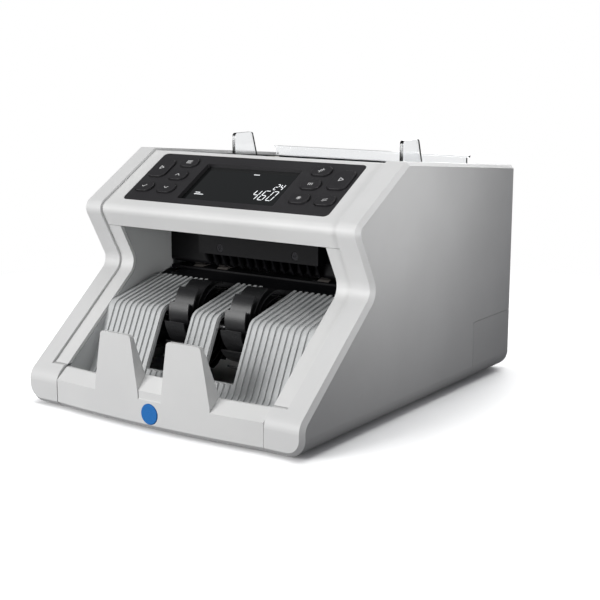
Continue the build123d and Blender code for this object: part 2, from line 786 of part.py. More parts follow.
def rack_outline(end_x, start_x):
    """A toothed bar along X, its pitch line on y = 0, teeth pointing to -y, a gap at x = 0."""
    half_tip = tooth_pitch / 4 - mesh_play / 2 - rack_tip * tan(pressure)
    half_root = tooth_pitch / 4 - mesh_play / 2 + rack_root * tan(pressure)
    points = [(start_x, rack_back), (start_x, rack_root)]
    first = int((abs(start_x) - half_root) / tooth_pitch - 0.5)
    last = int((abs(end_x) - half_root) / tooth_pitch - 0.5)
    for k in range(-first - 1, last + 1):
        middle = (k + 0.5) * tooth_pitch
        if abs(middle) > 58.0:
            continue
        points += [
            (middle - half_root, rack_root),
            (middle - half_tip, -rack_tip),
            (middle + half_tip, -rack_tip),
            (middle + half_root, rack_root),
        ]
    points += [(end_x, rack_root), (end_x, rack_back)]
    return Polyline(*points, close=True)


def guide(side):
    """One clear guide with its stem and rack; side is -1 on the left, 1 on the right."""
    x = side * guide_x
    base = tray_point(guide_slot_s, guide_lift)
    slope = tan(radians(tray_angle))
    low = base[1] + (guide_front_y - base[0]) * slope
    high = base[1] + (guide_base_back_y - base[0]) * slope
    with BuildPart() as piece:
        with BuildSketch(Plane.YZ.offset(x - guide_thickness / 2)):
            with BuildLine():
                Polyline(
                    (guide_front_y, low),
                    (guide_front_y, guide_top_z),
                    (guide_top_back_y, guide_top_z),
                    (guide_base_back_y, high),
                    close=True,
                )
            make_face()
        extrude(amount=guide_thickness)
        fillet(piece.edges().filter_by(Axis.X).group_by(Axis.Z)[-1], 3.0)
        # stem through the slot, and the arm that carries the rack
        with BuildSketch(tray_plane.offset(rack_bottom)):
            with Locations((x, guide_slot_s)):
                Rectangle(guide_thickness, guide_stem)
        extrude(amount=guide_lift - rack_bottom + 0.5)
        arm_low = guide_slot_s - guide_stem / 2
        arm_high = pinion_s + side * (-pitch_radius - rack_back)
        with BuildSketch(tray_plane.offset(rack_bottom)):
            outer, inner = x + side * 4.5, x - side * guide_thickness / 2
            with Locations(((outer + inner) / 2, (arm_low + max(arm_high, arm_low + guide_stem)) / 2)):
                Rectangle(abs(outer - inner), max(arm_high, arm_low + guide_stem) - arm_low)
            if side < 0:
                with BuildLine(Plane(origin=(0, pinion_s + pitch_radius, 0))):
                    rack_outline(rack_reach, -guide_x)
                make_face()
            else:
                with BuildLine(Plane(origin=(0, pinion_s - pitch_radius, 0), x_dir=(-1, 0, 0))):
                    rack_outline(rack_reach, -guide_x)
                make_face()
        extrude(amount=rack_thickness)
    return piece


left_guide = guide(-1)
finish(left_guide, "left_guide")
right_guide = guide(1)
finish(right_guide, "right_guide")


def pinion_outline():
    """An involute pinion centred on the origin, one tooth pointing to +y."""
    base_radius = pitch_radius * cos(pressure)
    tip_radius = pitch_radius + pinion_module
    root_radius = pitch_radius - 1.25 * pinion_module
    involute_at_pitch = tan(pressure) - pressure
    half_tooth = pi / (2 * pinion_teeth) - mesh_play / (2 * pitch_radius)
    roll_tip = sqrt((tip_radius / base_radius) ** 2 - 1)
    points = []
    for tooth in range(pinion_teeth):
        middle = pi / 2 + tooth * 2 * pi / pinion_teeth
        flank = []
        for step in range(5):
            roll = roll_tip * step / 4
            radius = base_radius * sqrt(1 + roll ** 2)
            turn = half_tooth + involute_at_pitch - (roll - atan2(roll, 1))
            flank.append((radius, turn))
        flank.insert(0, (root_radius, half_tooth + involute_at_pitch))
        for radius, turn in flank:
            points.append((radius * cos(middle - turn), radius * sin(middle - turn)))
        for radius, turn in reversed(flank):
            points.append((radius * cos(middle + turn), radius * sin(middle + turn)))
    return Polyline(*points, close=True)


with BuildPart() as guide_pinion:
    with BuildSketch(tray_plane.offset(rack_bottom)):
        with BuildLine(Plane(origin=(0, pinion_s, 0))):
            pinion_outline()
        make_face()
        with Locations((0, pinion_s)):
            Circle(2.0 + shaft_play, mode=Mode.SUBTRACT)
    extrude(amount=rack_thickness)
finish(guide_pinion, "guide_pinion")

# ---------------------------------------------------------------- exit throat
housing_low_z = 93.0        # underside of the upper transport housing
housing_front_y = -16.0
housing_back_y = 8.5
housing_half = 93.4
housing_wall = 2.4
exit_bar_half = 56.0
exit_bar_front_y = -27.0
exit_bar_low_z = 104.0
exit_screw_x, exit_screw_z = 35.3, 109.2
exit_screw_radius = 1.5
exit_screw_head = 2.8
exit_rib_pitch = 8.0
lip_half = 82.0
lip_edge_y = ledge_y + 0.9
nip_z = drive_z + drive_radius
idler_z = nip_z + nip_gap + idler_radius
plate_top_z = nip_z - 0.6
plate_thickness = 2.4
roller_places = [side * x for side in (-1, 1) for x in drive_x]

with BuildPart() as throat_rib:
    with BuildSketch(Plane.YZ.offset(-0.8)):
        with BuildLine():
            Polyline(
                (housing_front_y + 0.5, housing_low_z + 3.0),
                (housing_front_y - 2.5, housing_low_z + 0.5),
                (exit_bar_front_y + 2.5, exit_bar_low_z - seam),
                (housing_front_y + 0.5, exit_bar_low_z - seam),
                close=True,
            )
        make_face()
    extrude(amount=1.6)

with BuildPart() as upper_housing:
    add(bar(-housing_half, housing_half, housing_front_y, housing_back_y, housing_low_z,
            hood_edge_z - 0.6))
    fillet(upper_housing.edges().filter_by(Axis.X).group_by(Axis.Z)[0].group_by(Axis.Y)[0], 3.0)
    add(bar(-housing_half + housing_wall, housing_half - housing_wall,
            housing_front_y + housing_wall, far, housing_low_z + housing_wall, far),
        mode=Mode.SUBTRACT)
    with BuildSketch(Plane.XY.offset(housing_low_z - 1.0)):
        for x in roller_places:
            with Locations((x, drive_y)):
                Rectangle(12.0, 2 * idler_radius + 2.0)
    extrude(amount=2 * housing_wall, mode=Mode.SUBTRACT)
    with BuildSketch(Plane.YZ.offset(-housing_half - 1.0)):
        with Locations((drive_y, idler_z), (retard_y, retard_z)):
            Circle(shaft_radius + 0.4)
    extrude(amount=2 * housing_half + 2.0, mode=Mode.SUBTRACT)
    # ribs that steer the notes under the bar
    rib_total = int(2 * exit_bar_half / exit_rib_pitch)
    with Locations(*[((i - (rib_total - 1) / 2) * exit_rib_pitch, 0, 0) for i in range(rib_total)]):
        add(throat_rib.part)
    with BuildSketch(Plane.XZ.offset(-housing_front_y + 1.0)):
        for x in (-exit_screw_x, exit_screw_x):
            with Locations((x, exit_screw_z)):
                Circle(exit_screw_radius + 0.1)
    extrude(amount=-12.0, mode=Mode.SUBTRACT)
finish(upper_housing, "upper_housing")

with BuildPart() as exit_bar:
    add(bar(-exit_bar_half, exit_bar_half, exit_bar_front_y, housing_front_y - 0.2,
            exit_bar_low_z, hood_edge_z - 0.6))
    add(bar(-exit_bar_half + 2.0, exit_bar_half - 2.0, exit_bar_front_y + 2.5, far,
            exit_bar_low_z + 2.0, far), mode=Mode.SUBTRACT)
    # screw bosses behind the face
    with BuildSketch(Plane.XZ.offset(-housing_front_y + 0.2)):
        for x in (-exit_screw_x, exit_screw_x):
            with Locations((x, exit_screw_z)):
                Circle(4.0)
    extrude(amount=8.5)
    with BuildSketch(Plane.XZ.offset(-exit_bar_front_y)):
        for x in (-exit_screw_x, exit_screw_x):
            with Locations((x, exit_screw_z)):
                Circle(exit_screw_head + 0.2)
    extrude(amount=-1.5, mode=Mode.SUBTRACT)
    with BuildSketch(Plane.XZ.offset(-exit_bar_front_y)):
        for x in (-exit_screw_x, exit_screw_x):
            with Locations((x, exit_screw_z)):
                Circle(exit_screw_radius + 0.1)
    extrude(amount=-far, mode=Mode.SUBTRACT)
finish(exit_bar, "exit_bar")

with BuildPart() as exit_bar_screws:
    with BuildSketch(Plane.XZ.offset(-exit_bar_front_y - 1.5)):
        for x in (-exit_screw_x, exit_screw_x):
            with Locations((x, exit_screw_z)):
                Circle(exit_screw_head)
    extrude(amount=1.2)
    with BuildSketch(Plane.XZ.offset(-exit_bar_front_y - 0.3)):
        for x in (-exit_screw_x, exit_screw_x):
            with Locations((x, exit_screw_z)):
                Rectangle(3.4, 0.8)
                Rectangle(0.8, 3.4)
    extrude(amount=-0.7, mode=Mode.SUBTRACT)
    with BuildSketch(Plane.XZ.offset(-exit_bar_front_y - 1.5)):
        for x in (-exit_screw_x, exit_screw_x):
            with Locations((x, exit_screw_z)):
                Circle(exit_screw_radius)
    extrude(amount=-11.0)
finish(exit_bar_screws, "exit_bar_screws")

lip_rise = 11.5
lip_drop = 4.0               # short enough to stay outside the wheels' sweep
exit_bend_y = lip_edge_y + (plate_top_z - ledge_z) / tan(radians(lip_rise))
with BuildPart() as exit_plate:
    with BuildSketch(Plane.YZ.offset(-lip_half)):
        with BuildLine():
            Polyline(
                (lip_edge_y, ledge_z),
                (exit_bend_y, plate_top_z),
                (housing_back_y, plate_top_z),
                (housing_back_y, plate_top_z - plate_thickness),
                (exit_bend_y + 0.5, plate_top_z - plate_thickness),
                (lip_edge_y + plate_thickness + 0.4, ledge_z - plate_thickness + 0.2),
                (lip_edge_y + plate_thickness + 0.4, ledge_z - lip_drop),
                (lip_edge_y, ledge_z - lip_drop),
                close=True,
            )
        make_face()
    extrude(amount=2 * lip_half)
    add(bar(-housing_half, housing_half, housing_front_y, housing_back_y,
            plate_top_z - plate_thickness, plate_top_z))
    with BuildSketch(Plane.XY.offset(plate_top_z)):
        for x in roller_places:
            with Locations((x, drive_y)):
                Rectangle(14.0, 2 * sqrt(drive_radius ** 2 - (drive_radius - 3.4) ** 2) + 1.6)
    extrude(amount=-2 * plate_thickness, mode=Mode.SUBTRACT)
finish(exit_plate, "exit_plate")

# ---------------------------------------------------------------- shafts and rollers
pulley_end = pulley_start + pulley_width


def shaft(y, z, left_pulley=0.0, right_pulley=0.0):
    """A plain round shaft along X with a flanged belt pulley at either end."""
    with BuildPart() as piece:
        left = pulley_end if left_pulley else shaft_end
        right = pulley_end if right_pulley else shaft_end
        with BuildSketch(Plane.YZ.offset(-left)):
            with Locations((y, z)):
                Circle(shaft_radius)
        extrude(amount=left + right)
        for radius, start in ((left_pulley, -pulley_end), (right_pulley, pulley_start)):
            if radius:
                with BuildSketch(Plane.YZ.offset(start)):
                    with Locations((y, z)):
                        Circle(radius)
                extrude(amount=pulley_width)
                rim = (pulley_width - belt_width) / 2 - 0.2
                for edge in (start, start + pulley_width - rim):
                    with BuildSketch(Plane.YZ.offset(edge)):
                        with Locations((y, z)):
                            Circle(radius + belt_thickness + 0.6)
                    extrude(amount=rim)
    return piece


def rollers(y, z, radius, width, places):
    """Rubber rollers pressed on a shaft at the given places along X."""
    with BuildPart() as piece:
        for x in places:
            with BuildSketch(Plane.YZ.offset(x - width / 2)):
                with Locations((y, z)):
                    Circle(radius)
                    Circle(shaft_radius, mode=Mode.SUBTRACT)
            extrude(amount=width)
    return piece


feed_places = (-roller_x, roller_x)
feed_shaft = shaft(feed_y, feed_z, feed_link_pulley, feed_pulley)
finish(feed_shaft, "feed_shaft")
feed_rollers = rollers(feed_y, feed_z, feed_radius, 22.0, feed_places)
finish(feed_rollers, "feed_rollers")
pickup_shaft = shaft(pickup_y, pickup_z, left_pulley=pickup_pulley)
finish(pickup_shaft, "pickup_shaft")
pickup_rollers = rollers(pickup_y, pickup_z, pickup_radius, 12.0, feed_places)
finish(pickup_rollers, "pickup_rollers")
transport_shaft = shaft(drive_y, drive_z, right_pulley=drive_pulley)
finish(transport_shaft, "transport_shaft")
transport_rollers = rollers(drive_y, drive_z, drive_radius, 10.0, roller_places)
finish(transport_rollers, "transport_rollers")
stacker_shaft = shaft(stacker_y, stacker_z, left_pulley=stacker_pulley)
finish(stacker_shaft, "stacker_shaft")

with BuildPart() as retard_roller:
    for x in feed_places:
        with BuildSketch(Plane.YZ.offset(x - 7.0)):
            with Locations((retard_y, retard_z)):
                Circle(retard_radius)
        extrude(amount=14.0)
    with BuildSketch(Plane.YZ.offset(-shaft_end)):
        with Locations((retard_y, retard_z)):
            Circle(shaft_radius)
    extrude(amount=2 * shaft_end)
finish(retard_roller, "retard_roller")

with BuildPart() as idler_rollers:
    for x in roller_places:
        with BuildSketch(Plane.YZ.offset(x - 4.0)):
            with Locations((drive_y, idler_z)):
                Circle(idler_radius)
        extrude(amount=8.0)
    with BuildSketch(Plane.YZ.offset(-shaft_end)):
        with Locations((drive_y, idler_z)):
            Circle(shaft_radius)
    extrude(amount=2 * shaft_end)
finish(idler_rollers, "idler_rollers")

# stacker wheels: a hub with swept soft fins
with BuildSketch() as fin:
    with BuildLine():
        sweep_turn = radians(-115.0)
        Spline(*[
            ((stacker_hub - 1 + (stacker_radius - stacker_hub) * t) * cos(sweep_turn * t),
             (stacker_hub - 1 + (stacker_radius - stacker_hub) * t) * sin(sweep_turn * t))
            for t in (0.0, 0.25, 0.5, 0.75, 1.0)
        ])
    trace(line_width=fin_thickness)

with BuildPart() as stacker_wheels:
    for x in (-stacker_x, stacker_x):
        with BuildSketch(Plane.YZ.offset(x - stacker_width / 2)):
            with Locations((stacker_y, stacker_z)):
                with PolarLocations(0, fin_count):
                    add(fin.sketch)
                Circle(stacker_hub)
                Circle(shaft_radius, mode=Mode.SUBTRACT)
        extrude(amount=stacker_width)
finish(stacker_wheels, "stacker_wheels")

# ---------------------------------------------------------------- steel side frames
bearing_places = [
    (stacker_y, stacker_z), (drive_y, drive_z), (drive_y, idler_z),
    (retard_y, retard_z), (feed_y, feed_z), (pickup_y, pickup_z),
]
frame_top_gap = 3.2         # frame's upper edge below the tray floor
frame_back_s = 95.0
frame_front_y = -76.0
with BuildPart() as right_side_frame:
    with BuildSketch(Plane.YZ.offset(frame_x)):
        with BuildLine():
            Polyline(
                (frame_front_y, base_floor_z),
                (frame_front_y, 66.0),
                (-44.0, 92.0),
                (housing_front_y, 121.0),
                (11.0, 121.0),
                tray_point(-4.0, -frame_top_gap),
                tray_point(frame_back_s, -frame_top_gap),
                (tray_point(frame_back_s, 0)[0], base_floor_z),
                (84.0, base_floor_z),
                (84.0, 26.0),
                (-40.0, 26.0),
                (-50.0, base_floor_z),
                close=True,
            )
        make_face()
        for place in bearing_places:
            with Locations(place):
                Circle(bearing_radius, mode=Mode.SUBTRACT)
        with Locations((motor_y, motor_z)):
            Circle(motor_pulley - 1.0, mode=Mode.SUBTRACT)
        with Locations((stacker_motor_y, stacker_motor_z)):
            Circle(stacker_motor_pulley_radius - 1.0, mode=Mode.SUBTRACT)
    extrude(amount=frame_thickness)
finish(right_side_frame, "right_side_frame")
with BuildPart() as left_side_frame:
    mirror(right_side_frame.part, about=Plane.YZ)
finish(left_side_frame, "left_side_frame")

with BuildPart() as shaft_bearings:
    for side in (-1, 1):
        start = frame_x - 0.8 if side > 0 else -frame_x - frame_thickness - 1.0
        with BuildSketch(Plane.YZ.offset(start)):
            for place in bearing_places:
                with Locations(place):
                    Circle(bearing_radius - bearing_fit)
                    Circle(shaft_radius + shaft_play, mode=Mode.SUBTRACT)
        extrude(amount=frame_thickness + 1.8)
finish(shaft_bearings, "shaft_bearings")


# ---------------------------------------------------------------- motors and belts
def motor(side, y, z, radius, length, bore):
    """A round motor with a flat mounting face against a side frame."""
    start = frame_x - length if side > 0 else -frame_x
    with BuildPart() as piece:
        with BuildSketch(Plane.YZ.offset(start)):
            with Locations((y, z)):
                Circle(radius)
        extrude(amount=length)
        fillet(piece.edges().filter_by(GeomType.CIRCLE), 1.5)
        hole_start = frame_x - length / 2 if side > 0 else -frame_x
        with BuildSketch(Plane.YZ.offset(hole_start)):
            with Locations((y, z)):
                Circle(bore)
        extrude(amount=length / 2, mode=Mode.SUBTRACT)
    return piece


def motor_rotor(side, y, z, radius, length):
    """The motor's shaft with its belt pulley."""
    inner = frame_x - length / 2 + 1.0
    with BuildPart() as piece:
        with BuildSketch(Plane.YZ.offset(side * inner)):
            with Locations((y, z)):
                Circle(motor_shaft)
        extrude(amount=side * (pulley_end - inner))
        with BuildSketch(Plane.YZ.offset(side * pulley_start)):
            with Locations((y, z)):
                Circle(radius)
        extrude(amount=side * pulley_width)
    return piece


main_motor = motor(1, motor_y, motor_z, motor_radius, motor_length, motor_shaft + shaft_play)
finish(main_motor, "main_motor")
main_motor_pulley = motor_rotor(1, motor_y, motor_z, motor_pulley, motor_length)
finish(main_motor_pulley, "main_motor_pulley")
stacker_motor = motor(-1, stacker_motor_y, stacker_motor_z, stacker_motor_radius,
                      stacker_motor_length, motor_shaft + shaft_play)
finish(stacker_motor, "stacker_motor")
stacker_motor_pulley = motor_rotor(-1, stacker_motor_y, stacker_motor_z,
                                   stacker_motor_pulley_radius, stacker_motor_length)
finish(stacker_motor_pulley, "stacker_motor_pulley")


def belt(x, wheels):
    """A closed belt round pulleys given as (y, z, radius), starting at x."""
    with BuildSketch() as inside:
        with BuildLine():
            for y, z, radius in wheels:
                CenterArc((y, z), radius + belt_play, 0, 360)
        make_hull()
    with BuildSketch(Plane.YZ.offset(x)) as loop:
        add(inside.sketch)
        offset(amount=belt_thickness)
        add(inside.sketch, mode=Mode.SUBTRACT)
    return extrude(loop.sketch, amount=belt_width)


belt_margin = (pulley_width - belt_width) / 2
with BuildPart() as drive_belts:
    add(belt(pulley_start + belt_margin, [
        (motor_y, motor_z, motor_pulley),
        (feed_y, feed_z, feed_pulley),
        (drive_y, drive_z, drive_pulley),
    ]))
    add(belt(-pulley_end + belt_margin, [
        (feed_y, feed_z, feed_link_pulley),
        (pickup_y, pickup_z, pickup_pulley),
    ]))
    add(belt(-pulley_end + belt_margin, [
        (stacker_motor_y, stacker_motor_z, stacker_motor_pulley_radius),
        (stacker_y, stacker_z, stacker_pulley),
    ]))
finish(drive_belts, "drive_belts")

# ---------------------------------------------------------------- electrics
board_z = base_floor_z + 5.0
with BuildPart() as main_board:
    add(bar(-88.0, 30.0, 34.0, 138.0, board_z, board_z + board_thickness))
    with Locations(*[(x, y, base_floor_z + 2.5) for x in (-82.0, 24.0) for y in (40.0, 132.0)]):
        Cylinder(3.0, 5.0)
    add(bar(-70.0, -46.0, 60.0, 84.0, board_z, board_z + 4.0))
    add(bar(-20.0, 14.0, 50.0, 62.0, board_z, board_z + 16.0))
    add(bar(-66.0, -30.0, 104.0, 112.0, board_z, board_z + 9.0))
    with Locations((2.0, 90.0, board_z + 8.0), (18.0, 90.0, board_z + 8.0)):
        Cylinder(5.0, 16.0)
finish(main_board, "main_board")

with BuildPart() as power_supply:
    add(bar(40.0, 92.0, 90.0, 142.0, board_z, board_z + board_thickness))
    with Locations(*[(x, y, base_floor_z + 2.5) for x in (45.0, 87.0) for y in (95.0, 112.0)]):
        Cylinder(3.0, 5.0)
    add(bar(48.0, 72.0, 96.0, 120.0, board_z, board_z + 24.0))
    add(bar(80.0, 84.0, 96.0, 118.0, board_z, board_z + 22.0))
finish(power_supply, "power_supply")

inlet_depth = 20.0
pin_recess = 4.0            # contact pins stop this far inside the rim
rocker_x, rocker_half_width, rocker_half_height = -56.5, 5.8, 9.0
rocker_pivot_y = half_depth - 5.5
rocker_tilt = 8.0
socket_x = -79.0
with BuildPart() as power_inlet:
    add(bar(inlet_x - inlet_width / 2, inlet_x + inlet_width / 2, half_depth - skin, half_depth,
            inlet_z - inlet_height / 2, inlet_z + inlet_height / 2))
    add(bar(inlet_x - inlet_width / 2 + 1.5, inlet_x + inlet_width / 2 - 1.5,
            half_depth - inlet_depth, half_depth, inlet_z - inlet_height / 2 + 1.5,
            inlet_z + inlet_height / 2 - 1.5))
    with BuildSketch(Plane.XZ.offset(-half_depth)):
        with Locations((socket_x, inlet_z)):
            RectangleRounded(24.5, 17.0, 2.0)
    extrude(amount=inlet_depth - 3.0, mode=Mode.SUBTRACT)
    add(bar(rocker_x - rocker_half_width - 0.3, rocker_x + rocker_half_width + 0.3,
            half_depth - 12.5, far, inlet_z - rocker_half_height - 1.4,
            inlet_z + rocker_half_height + 1.4), mode=Mode.SUBTRACT)
    with BuildSketch(Plane.YZ.offset(rocker_x - rocker_half_width - 1.6)):
        with Locations((rocker_pivot_y, inlet_z)):
            Circle(1.2 + shaft_play)
    extrude(amount=2 * rocker_half_width + 3.2, mode=Mode.SUBTRACT)
    # contact pins inside the socket
    for x, z in ((-7.0, -1.5), (0.0, 2.5), (7.0, -1.5)):
        add(bar(socket_x + x - 1.0, socket_x + x + 1.0, half_depth - inlet_depth + 2.0,
                half_depth - pin_recess, inlet_z + z - 2.0, inlet_z + z + 2.0))
finish(power_inlet, "power_inlet")

rocker_plane = Plane(
    origin=(rocker_x - rocker_half_width, rocker_pivot_y, inlet_z),
    x_dir=(0, cos(radians(rocker_tilt)), sin(radians(rocker_tilt))),
    z_dir=(1, 0, 0),
)
with BuildPart() as power_switch:
    with BuildSketch(rocker_plane):
        with BuildLine():
            Polyline(
                (-4.0, -rocker_half_height + 1.5),
                (3.0, -rocker_half_height),
                (2.0, 0.0),
                (3.0, rocker_half_height),
                (-4.0, rocker_half_height - 1.5),
                close=True,
            )
        make_face()
    extrude(amount=2 * rocker_half_width)
    with BuildSketch(rocker_plane.offset(-1.4)):
        Circle(1.2)
    extrude(amount=2 * rocker_half_width + 2.8)
finish(power_switch, "power_switch")

with BuildPart() as rear_ports:
    add(bar(ports_x - ports_width / 2, ports_x + ports_width / 2, half_depth - skin - 12.0, half_depth,
            ports_z - ports_height / 2, ports_z + ports_height / 2))
    with BuildSketch(Plane.XZ.offset(-half_depth)):
        with Locations((ports_x - 17.0, ports_z), (ports_x, ports_z)):
            Rectangle(12.0, 9.0)
        with Locations((ports_x + 17.0, ports_z)):
            Rectangle(12.2, 5.4)
    extrude(amount=11.0, mode=Mode.SUBTRACT)
finish(rear_ports, "rear_ports")

# ---------------------------------------------------------------- back door
door_half = inner_half - seam
door_top_z = skirt_z - 0.7
door_foot_z = door_hinge_z + hinge_radius + 0.4
with BuildPart() as rear_door:
    add(bar(-door_half, door_half, half_depth - skin, half_depth, door_foot_z, door_top_z))
    door_web = [(-door_half, -lug_x - lug_width / 2 - seam),
                (-lug_x + lug_width / 2 + seam, lug_x - lug_width / 2 - seam),
                (lug_x + lug_width / 2 + seam, door_half)]
    for x0, x1 in door_web:
        add(bar(x0, x1, half_depth - skin + 0.4, half_depth, door_hinge_z, door_foot_z))
        with BuildSketch(Plane.YZ.offset(x0)):
            with Locations((door_hinge_y, door_hinge_z)):
                Circle(hinge_radius)
        extrude(amount=x1 - x0)
    with BuildSketch(Plane.YZ.offset(-door_half)):
        with Locations((door_hinge_y, door_hinge_z)):
            Circle(hinge_pin_radius + shaft_play)
    extrude(amount=2 * door_half, mode=Mode.SUBTRACT)
    # stiffening ribs inside, and a finger notch at the top
    for x in (-60.0, -20.0, 20.0, 60.0):
        add(bar(x - 1.0, x + 1.0, half_depth - skin - 4.0, half_depth - skin,
                door_foot_z + 8.0, door_top_z - 12.0))
    with BuildSketch(Plane.XZ.offset(-half_depth)):
        with Locations((0, door_top_z)):
            SlotOverall(34.0, 12.0)
    extrude(amount=skin, mode=Mode.SUBTRACT)
finish(rear_door, "rear_door")

with BuildPart() as rear_hinge_pins:
    for x in (-lug_x, lug_x):
        with BuildSketch(Plane.YZ.offset(x - lug_width / 2 - 6.0)):
            with Locations((door_hinge_y, door_hinge_z)):
                Circle(hinge_pin_radius)
        extrude(amount=lug_width + 12.0)
finish(rear_hinge_pins, "rear_hinge_pins")
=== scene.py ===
import json
import math

import bmesh
import bpy
from mathutils import Matrix, Vector


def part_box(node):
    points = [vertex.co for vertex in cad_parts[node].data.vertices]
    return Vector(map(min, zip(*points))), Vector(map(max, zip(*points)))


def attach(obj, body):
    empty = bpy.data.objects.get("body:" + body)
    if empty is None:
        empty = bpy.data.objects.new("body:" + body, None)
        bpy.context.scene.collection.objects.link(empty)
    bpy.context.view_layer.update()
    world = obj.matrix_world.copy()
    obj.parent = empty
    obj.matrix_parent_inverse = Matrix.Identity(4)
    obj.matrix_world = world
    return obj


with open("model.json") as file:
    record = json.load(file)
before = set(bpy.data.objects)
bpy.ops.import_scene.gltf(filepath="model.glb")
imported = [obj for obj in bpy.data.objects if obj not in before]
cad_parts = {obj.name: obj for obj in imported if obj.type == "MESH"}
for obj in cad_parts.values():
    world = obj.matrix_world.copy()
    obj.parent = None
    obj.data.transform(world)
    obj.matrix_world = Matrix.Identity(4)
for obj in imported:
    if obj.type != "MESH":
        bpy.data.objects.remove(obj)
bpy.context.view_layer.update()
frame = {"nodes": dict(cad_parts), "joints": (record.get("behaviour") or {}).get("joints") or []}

# ---------------------------------------------------------------- base pan and back door
# The pan and the door are injection-moulded in off-white ABS with a fine spark texture.
# The pan carries everything else, and the door swings on two pins in the pan's lugs.
moulding = bpy.data.node_groups.new("moulded surface", "ShaderNodeTree")
for socket_name, socket_type in (
    ("Place", "NodeSocketVector"), ("Light", "NodeSocketColor"), ("Dark", "NodeSocketColor"),
    ("Grain", "NodeSocketFloat"), ("Smooth", "NodeSocketFloat"), ("Matt", "NodeSocketFloat"),
):
    moulding.interface.new_socket(name=socket_name, in_out="INPUT", socket_type=socket_type)
for socket_name, socket_type in (
    ("Color", "NodeSocketColor"), ("Roughness", "NodeSocketFloat"), ("Height", "NodeSocketFloat"),
):
    moulding.interface.new_socket(name=socket_name, in_out="OUTPUT", socket_type=socket_type)
group_in = moulding.nodes.new("NodeGroupInput")
group_out = moulding.nodes.new("NodeGroupOutput")
spark = moulding.nodes.new("ShaderNodeTexNoise")
spark.inputs["Detail"].default_value = 2.0
cloud = moulding.nodes.new("ShaderNodeTexNoise")
cloud.inputs["Scale"].default_value = 16.0
cloud.inputs["Detail"].default_value = 4.0
spread = moulding.nodes.new("ShaderNodeMapRange")
spread.inputs["From Min"].default_value = 0.35
spread.inputs["From Max"].default_value = 0.65
shade = moulding.nodes.new("ShaderNodeMix")
shade.data_type = "RGBA"
gloss = moulding.nodes.new("ShaderNodeMapRange")
gloss.inputs["From Min"].default_value = 0.3
gloss.inputs["From Max"].default_value = 0.7
for source, target in (
    (group_in.outputs["Place"], spark.inputs["Vector"]),
    (group_in.outputs["Grain"], spark.inputs["Scale"]),
    (group_in.outputs["Place"], cloud.inputs["Vector"]),
    (cloud.outputs["Fac"], spread.inputs["Value"]),
    (spread.outputs["Result"], shade.inputs["Factor"]),
    (group_in.outputs["Dark"], shade.inputs["A"]),
    (group_in.outputs["Light"], shade.inputs["B"]),
    (spark.outputs["Fac"], gloss.inputs["Value"]),
    (group_in.outputs["Smooth"], gloss.inputs["To Min"]),
    (group_in.outputs["Matt"], gloss.inputs["To Max"]),
    (shade.outputs["Result"], group_out.inputs["Color"]),
    (gloss.outputs["Result"], group_out.inputs["Roughness"]),
    (spark.outputs["Fac"], group_out.inputs["Height"]),
):
    moulding.links.new(source, target)


def finish_from(group, name, light, dark, relief, depth, **values):
    """A material whose colour, roughness and relief come from one of the surface groups."""
    material = bpy.data.materials.new(name)
    material.use_nodes = True
    tree = material.node_tree
    surface = tree.nodes["Principled BSDF"]
    place = tree.nodes.new("ShaderNodeTexCoord")
    skin = tree.nodes.new("ShaderNodeGroup")
    skin.node_tree = group
    skin.inputs["Light"].default_value = (*light, 1.0)
    skin.inputs["Dark"].default_value = (*dark, 1.0)
    for socket_name, value in values.items():
        skin.inputs[socket_name].default_value = value
    bump = tree.nodes.new("ShaderNodeBump")
    bump.inputs["Strength"].default_value = relief
    bump.inputs["Distance"].default_value = depth
    tree.links.new(place.outputs["Object"], skin.inputs["Place"])
    tree.links.new(skin.outputs["Color"], surface.inputs["Base Color"])
    tree.links.new(skin.outputs["Roughness"], surface.inputs["Roughness"])
    tree.links.new(skin.outputs["Height"], bump.inputs["Height"])
    tree.links.new(bump.outputs["Normal"], surface.inputs["Normal"])
    return material


def surface_of(material):
    """The inputs of a material's own shader."""
    return material.node_tree.nodes["Principled BSDF"].inputs


def dress(material, *nodes):
    """Give CAD nodes their finish."""
    for node in nodes:
        for holder in frame["nodes"][node].material_slots:
            holder.material = material


pan_white = finish_from(moulding, "pan white", (0.74, 0.74, 0.735), (0.70, 0.70, 0.695),
                        0.5, 0.00006, Grain=2600.0, Smooth=0.42, Matt=0.58)
dress(pan_white, "base_pan", "rear_door")

# ---------------------------------------------------------------- feet, screws and hinge pins
# Four soft rubber feet are held from below by pan-head screws through the base pan.
# The screws and the door's pins are bright steel, turned and brushed.
foot_rubber = finish_from(moulding, "foot rubber", (0.030, 0.030, 0.031), (0.018, 0.018, 0.019),
                          0.7, 0.0001, Grain=1800.0, Smooth=0.72, Matt=0.9)
dress(foot_rubber, "rubber_feet")

brushing = bpy.data.node_groups.new("brushed surface", "ShaderNodeTree")
for socket_name, socket_type in (
    ("Place", "NodeSocketVector"), ("Light", "NodeSocketColor"), ("Dark", "NodeSocketColor"),
    ("Lay", "NodeSocketVector"), ("Smooth", "NodeSocketFloat"), ("Matt", "NodeSocketFloat"),
):
    brushing.interface.new_socket(name=socket_name, in_out="INPUT", socket_type=socket_type)
for socket_name, socket_type in (
    ("Color", "NodeSocketColor"), ("Roughness", "NodeSocketFloat"), ("Height", "NodeSocketFloat"),
):
    brushing.interface.new_socket(name=socket_name, in_out="OUTPUT", socket_type=socket_type)
group_in = brushing.nodes.new("NodeGroupInput")
group_out = brushing.nodes.new("NodeGroupOutput")
drawn = brushing.nodes.new("ShaderNodeMapping")
lines = brushing.nodes.new("ShaderNodeTexNoise")
lines.inputs["Scale"].default_value = 1.0
lines.inputs["Detail"].default_value = 3.0
tone = brushing.nodes.new("ShaderNodeMix")
tone.data_type = "RGBA"
sheen = brushing.nodes.new("ShaderNodeMapRange")
